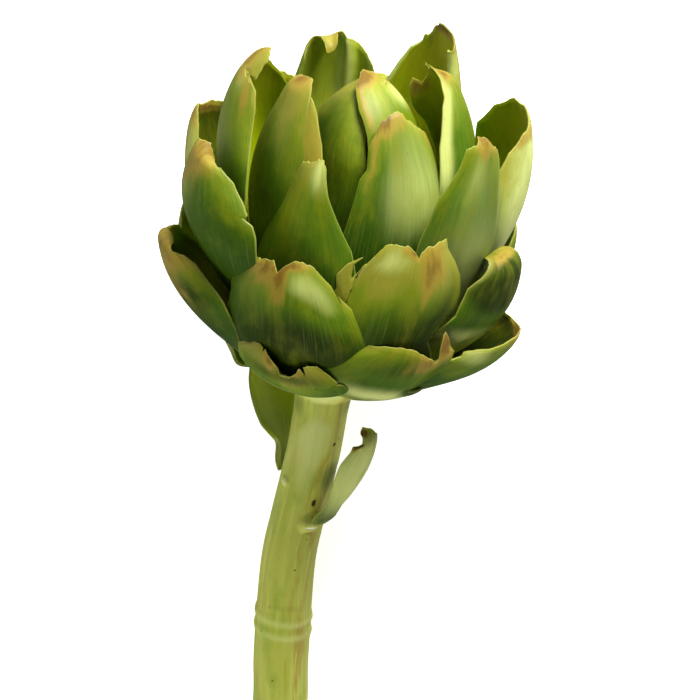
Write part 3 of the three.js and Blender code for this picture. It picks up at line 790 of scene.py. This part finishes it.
stalk = {
    "length": 118, "radius": 6.65, "sides": 112, "rows": 300,
    "swell": 0.5, "swellAlong": (8, 90),  # how much thicker it grows, and how far below the head
    "jointHeight": -70, "jointReach": 2, "jointDepth": 0.45, "jointSoft": 1.4,
    "jointPale": 0.5, "jointSide": 20, "jointSpread": (0.6, 0.4),  # paling, most of it at this place round
    "neck": (-10, -4), "neckRadius": 7.0, "neckGap": 0.6,  # where the stalk passes into the heart
    "ribs": [(8, 0, 0, 0.05), (19, 0.02, 1, 0.03), (31, -0.015, 0, 0.03)],  # how many, twist, phase, depth
    "ribsFrom": (2, 8),  # how far below the head they start and are full
    "uneven": (2, 0.12, 0.08),  # waves round and along it, and their depth
    "bow": [  # height, and how far aside its middle lies there
        (30, 0), (-13, -0.2), (-26, -0.8), (-40, -1.9), (-54, -2.5), (-80, -0.7), (-94, 1), (-118, 2.8),
    ],
    "bowSteps": 24,
    "cut": [  # share of the radius, how far it stands out, browning, paling
        (0.985, 0.25, 0.2, 0.1), (0.93, 0.4, 0.5, 0), (0.88, 0.38, 0.1, 0.4), (0.74, 0.3, 0.45, 0.5),
        (0.7, 0.28, 0.1, 1.0), (0.4, 0.1, 0, 1.2), (0.1, 0, 0, 1.2),
    ],
    "heart": [(7.0, -4), (10.5, 0), (16, 3), (19, 8), (19, 13), (16.5, 18), (12.5, 20.5)],
    "heartRows": 40,
    "bare": (-5, 45, 0.9, -40, -12),  # painted light on the upper side below the head: place round, reach, paling, and the heights between which it rises
    "dry": [(45, 32, 0.5), (-60, 25, 0.2)],  # place round, reach, browning
    "markShape": 1.25, "markColour": 1.2,  # where past its edge a mark fades out
    "marksAndShade": [  # place round, height, how far it stands out, half width, half height, pale, dark; pale below zero is painted shade
        (30, -38.4, 1.5, 2.9, 2.7, 0.4, 0), (29, -39.2, -0.5, 1.6, 0.5, 1.8, 0),
        (31, -41, -0.3, 1.3, 0.7, -0.5, 0.4), (-52, -28.4, 0.6, 1.6, 1.4, 0.8, 0),
        (27, -32.4, -0.2, 0.6, 1.2, 0, 1.7), (46, -15.8, 0, 0.45, 0.4, 0, 2),
        (18, -52, 0, 0.3, 0.3, 0, 1.7), (-30, -64, 0, 0.4, 0.9, 0, 0.9), (-12, -85, 0, 0.35, 0.3, 0, 1.8),
        # painted shade beside the right leaf, under the head and above the joint
        (50, -25, 0, 5, 7, -0.75, 0), (20, -6, 0, 14, 5, -0.5, 0), (-50, -8, 0, 5, 6, -0.5, 0),
        (10, -63.5, 0, 6, 1.6, -0.3, 0),
    ],
}


# Middle line of the stalk: a smooth curve through the bow's points.
def bowAt(z):
    points = np.array(stalk["bow"], float)
    padded = np.vstack([points[0], points, points[-1]])
    dense = []
    for k in range(len(points) - 1):
        before, start, finish, after = padded[k:k + 4]
        t = np.linspace(0, 1, stalk["bowSteps"])[:, None]
        leave, arrive = (finish - before) / 2, (after - start) / 2
        dense.append(
            (2 * start - 2 * finish + leave + arrive) * t**3
            + (-3 * start + 3 * finish - 2 * leave - arrive) * t**2 + leave * t + start
        )
    dense = np.concatenate(dense)[::-1]
    return np.interp(z, dense[:, 0], dense[:, 1])


def addStalk():
    neckStart, neckEnd = stalk["neck"]
    heartHeights = [height for _, height in stalk["heart"]]
    heartSteps = np.linspace(0, len(heartHeights) - 1, stalk["heartRows"])
    z = np.concatenate([
        np.linspace(-stalk["length"], neckEnd - stalk["neckGap"], stalk["rows"]),
        np.interp(heartSteps, range(len(heartHeights)), heartHeights),
    ])
    angle = np.linspace(0, 2 * math.pi, stalk["sides"], endpoint=False)
    off = (np.abs(z - stalk["jointHeight"]) - stalk["jointReach"]) / stalk["jointSoft"]
    joint = np.exp(-off * off)
    heartRadius = np.interp(z, heartHeights, [radius for radius, _ in stalk["heart"]])
    stem = stalk["radius"] + stalk["jointDepth"] * joint + stalk["swell"] * smooth(-z, *stalk["swellAlong"])
    neck = lerp(stem, stalk["neckRadius"], smooth(z, neckStart, neckEnd))
    radius = np.where(z < neckStart, stem, np.where(z < neckEnd, neck, heartRadius))
    a, h = np.meshgrid(angle, z)
    ribs = sum(deep * np.cos(many * a + twist * h + phase) for many, twist, phase, deep in stalk["ribs"])
    about, along, depth = stalk["uneven"]
    ribs = ribs + depth * waves(a * about, h * along, seeds["stalk"])
    r = radius[:, None] + ribs * smooth(-h, *stalk["ribsFrom"])
    around = ((np.degrees(a) + 90 + 180) % 360) - 180  # 0 where the plant faces up
    level, swing = stalk["jointSpread"]
    paler = level + swing * np.cos(np.radians(around - stalk["jointSide"]))
    pale = stalk["jointPale"] * joint[:, None] * paler
    # painted light along the stalk's upper side, below the head
    place, reach, paling, low, high = stalk["bare"]
    pale = pale + paling * smooth(h, low, high) * bell(around, place, reach)
    brown = sum(browning * bell(around, place, reach) for place, reach, browning in stalk["dry"])
    # Each mark may stand out and turn paler or browner; paleness below zero paints shade.
    for place, height, stand, wide, tall, paling, dark in stalk["marksAndShade"]:
        # 1 at the mark's own edge
        apart = np.hypot(np.radians(around - place) * stalk["radius"] / wide, (h - height) / tall)
        r = r + stand * smooth(stalk["markShape"] - apart)
        pale = pale + paling * smooth(stalk["markColour"] - apart)
        brown = brown + dark * smooth(stalk["markColour"] - apart)
    x = bowAt(h) + r * np.cos(a)
    y = r * np.sin(a)
    points = np.stack([x, y, h], -1).reshape(-1, 3)
    # the grain runs round without a seam: a circle in two of its directions
    grain = np.stack([stalk["radius"] * np.cos(a), h, stalk["radius"] * np.sin(a)], -1).reshape(-1, 3)
    paint = np.stack([brown, pale, 0 * h + 1], -1).reshape(-1, 3)
    sides, rows = stalk["sides"], len(z)
    faces = tubeFaces(sides, rows)
    faces.append(tuple(range((rows - 1) * sides, rows * sides)))

    # the cut end: a green rind round a pale pith
    rim, rimGrain = points[:sides], grain[:sides]
    middle, middleGrain = rim.mean(0), rimGrain.mean(0)
    outerRing = range(sides)
    for share, stand, browning, paling in stalk["cut"]:
        first = len(points)
        points = np.concatenate([points, middle + (rim - middle) * share - (0, 0, stand)])
        grain = np.concatenate([grain, middleGrain + (rimGrain - middleGrain) * share])
        paint = np.concatenate([paint, np.tile([browning, paling, 1.0], (sides, 1))])
        for i in range(sides):
            after = (i + 1) % sides
            faces.append((outerRing[after], outerRing[i], first + i, first + after))
        outerRing = range(first, first + sides)
    faces.append(tuple(outerRing)[::-1])
    facts = {"grain": grain, "paint": paint}
    addPiece("stalk_skin", points, faces, facts, stalkMaterial, "stalk_and_heart")


addStalk()

bud = {
    "sides": 120, "rows": 90,
    "laps": 5, "lapTwist": 60, "lapDepth": 0.06,  # small bracts that lap round it
    "profile": [(12.2, 21), (13, 30), (13, 42), (13, 54), (12.6, 64), (10.6, 70.4), (7, 74.6), (2.8, 76.6)],
    "apex": (1.0, 77),
    "rimAway": 3,  # far enough to be no rim
    "grainRadius": 12, "grainBase": 20, "grainHeight": 60, "dry": (66, 84, 0.6),
}


def addBud():
    radii, heights = zip(*bud["profile"])
    apexRadius, apexHeight = bud["apex"]
    z = np.concatenate([np.linspace(heights[0], heights[-1], bud["rows"]), [apexHeight]])
    radius = np.append(np.interp(z[:-1], heights, radii), apexRadius)
    a, h = np.meshgrid(np.linspace(0, 2 * math.pi, bud["sides"], endpoint=False), z)
    lap = (bud["laps"] * a / (2 * math.pi) + h / bud["lapTwist"]) % 1
    r = radius[:, None] * (1 - bud["lapDepth"] * lap)
    points = np.stack([r * np.cos(a), r * np.sin(a), h], -1).reshape(-1, 3)
    sides, rows = bud["sides"], len(z)
    faces = tubeFaces(sides, rows)
    faces.append(tuple(range(sides))[::-1])
    faces.append(tuple(range((rows - 1) * sides, rows * sides)))
    fromBase = h - bud["grainBase"]
    grain = np.stack([bud["grainRadius"] * np.cos(a), fromBase, bud["grainRadius"] * np.sin(a)], -1)
    dryStart, dryEnd, browning = bud["dry"]
    paint = np.stack([smooth(h, dryStart, dryEnd) * browning, 0 * h, 0 * h + 1], -1)
    reach = np.stack([fromBase / bud["grainHeight"], 0 * h + bud["rimAway"], 0 * h], -1)
    facts = {"grain": grain, "paint": paint, "reach": reach}
    addPiece("closed_bud_skin", points, faces, facts, budMaterial, "closed_bud")


addBud()
print("stalk and bud made")

# glow: the table gives off light of its own, painted light that lifts the shadows on it and lights the head
# from below
table = {"side": 6.0, "colour": (246, 246, 246), "roughness": 0.9, "specular": 0.1, "glow": 0.75}


def addTable():
    half = table["side"] / 2
    mesh = bpy.data.meshes.new("table")
    corners = [(-half, -half, 0), (half, -half, 0), (half, half, 0), (-half, half, 0)]
    mesh.from_pydata(corners, [], [(0, 1, 2, 3)])
    piece = placed("table", mesh)
    material = bpy.data.materials.new("paleTable")
    material.use_nodes = True
    feed(material.node_tree, material.node_tree.nodes["Principled BSDF"], {
        "Base Color": fromScreen(*table["colour"]),
        "Roughness": table["roughness"],
        "Specular IOR Level": table["specular"],
        "Emission Color": (1, 1, 1, 1),
        "Emission Strength": table["glow"],
    })
    mesh.materials.append(material)
    piece.visible_glossy = False  # the waxy skins would mirror it


addTable()

headMiddle = Vector((0, 0.03, 0.035))
# way, far: where each lamp stands from the head. size: its width. shine: whether it shows in waxy skins.
lamps = {
    "key": {"way": (0.45, 1.15, 0.6), "far": 1.0, "size": 0.4, "power": 25.0, "shine": True},
    "fill": {"way": (-0.6, 0.6, 1.1), "far": 1.2, "size": 1.0, "power": 2.0, "shine": False},
    "under": {"way": (-0.35, -1.0, 0.42), "far": 1.2, "size": 0.8, "power": 12.0, "shine": False},
}
worldLight = 0.09


def addLamps():
    for name, lamp in lamps.items():
        data = bpy.data.lights.new(name, "AREA")
        data.size = lamp["size"]
        data.energy = lamp["power"]
        way = Vector(lamp["way"]).normalized()
        holder = placed(name, data)
        holder.location = headMiddle + way * lamp["far"]
        holder.visible_glossy = lamp["shine"]
        holder.rotation_euler = way.to_track_quat("Z", "Y").to_euler()
    world = bpy.data.worlds.new("studio")
    world.use_nodes = True
    sky = world.node_tree.nodes["Background"]
    feed(world.node_tree, sky, {"Color": (1, 1, 1, 1), "Strength": worldLight})
    bpy.context.scene.world = world
    bpy.context.scene.view_settings.view_transform = "Standard"


addLamps()

camera = {
    "elevation": 25.0, "lean": 9.0,  # how far the camera looks down on the head's base, and how it tilts
    "aside": 5.88, "above": 6.86, "away": 815.0,  # from the base of the head, in millimetres
    "lens": 167.9, "sensor": 36.0, "nearest": 0.05,
}


def addCamera():
    up, lean = math.radians(camera["elevation"]), math.radians(camera["lean"])
    right = Vector((1, 0, 0))
    rise = Vector((0, math.sin(up), math.cos(up)))
    away = Vector((0, -math.cos(up), math.sin(up)))
    pictureRight = math.cos(lean) * right + math.sin(lean) * rise
    pictureUp = -math.sin(lean) * right + math.cos(lean) * rise
    place = camera["aside"] * pictureRight + camera["above"] * pictureUp + camera["away"] * away
    turn = layDown.to_3x3()
    axes = Matrix((turn @ pictureRight, turn @ pictureUp, turn @ away)).transposed()
    data = bpy.data.cameras.new("camera")
    data.lens = camera["lens"]
    data.sensor_width = camera["sensor"]
    data.clip_start = camera["nearest"]
    holder = placed("camera", data)
    holder.matrix_world = Matrix.Translation((layDown @ place) * metresPerMillimetre) @ axes.to_4x4()
    bpy.context.scene.camera = holder


addCamera()
print("table, lamps and camera placed")
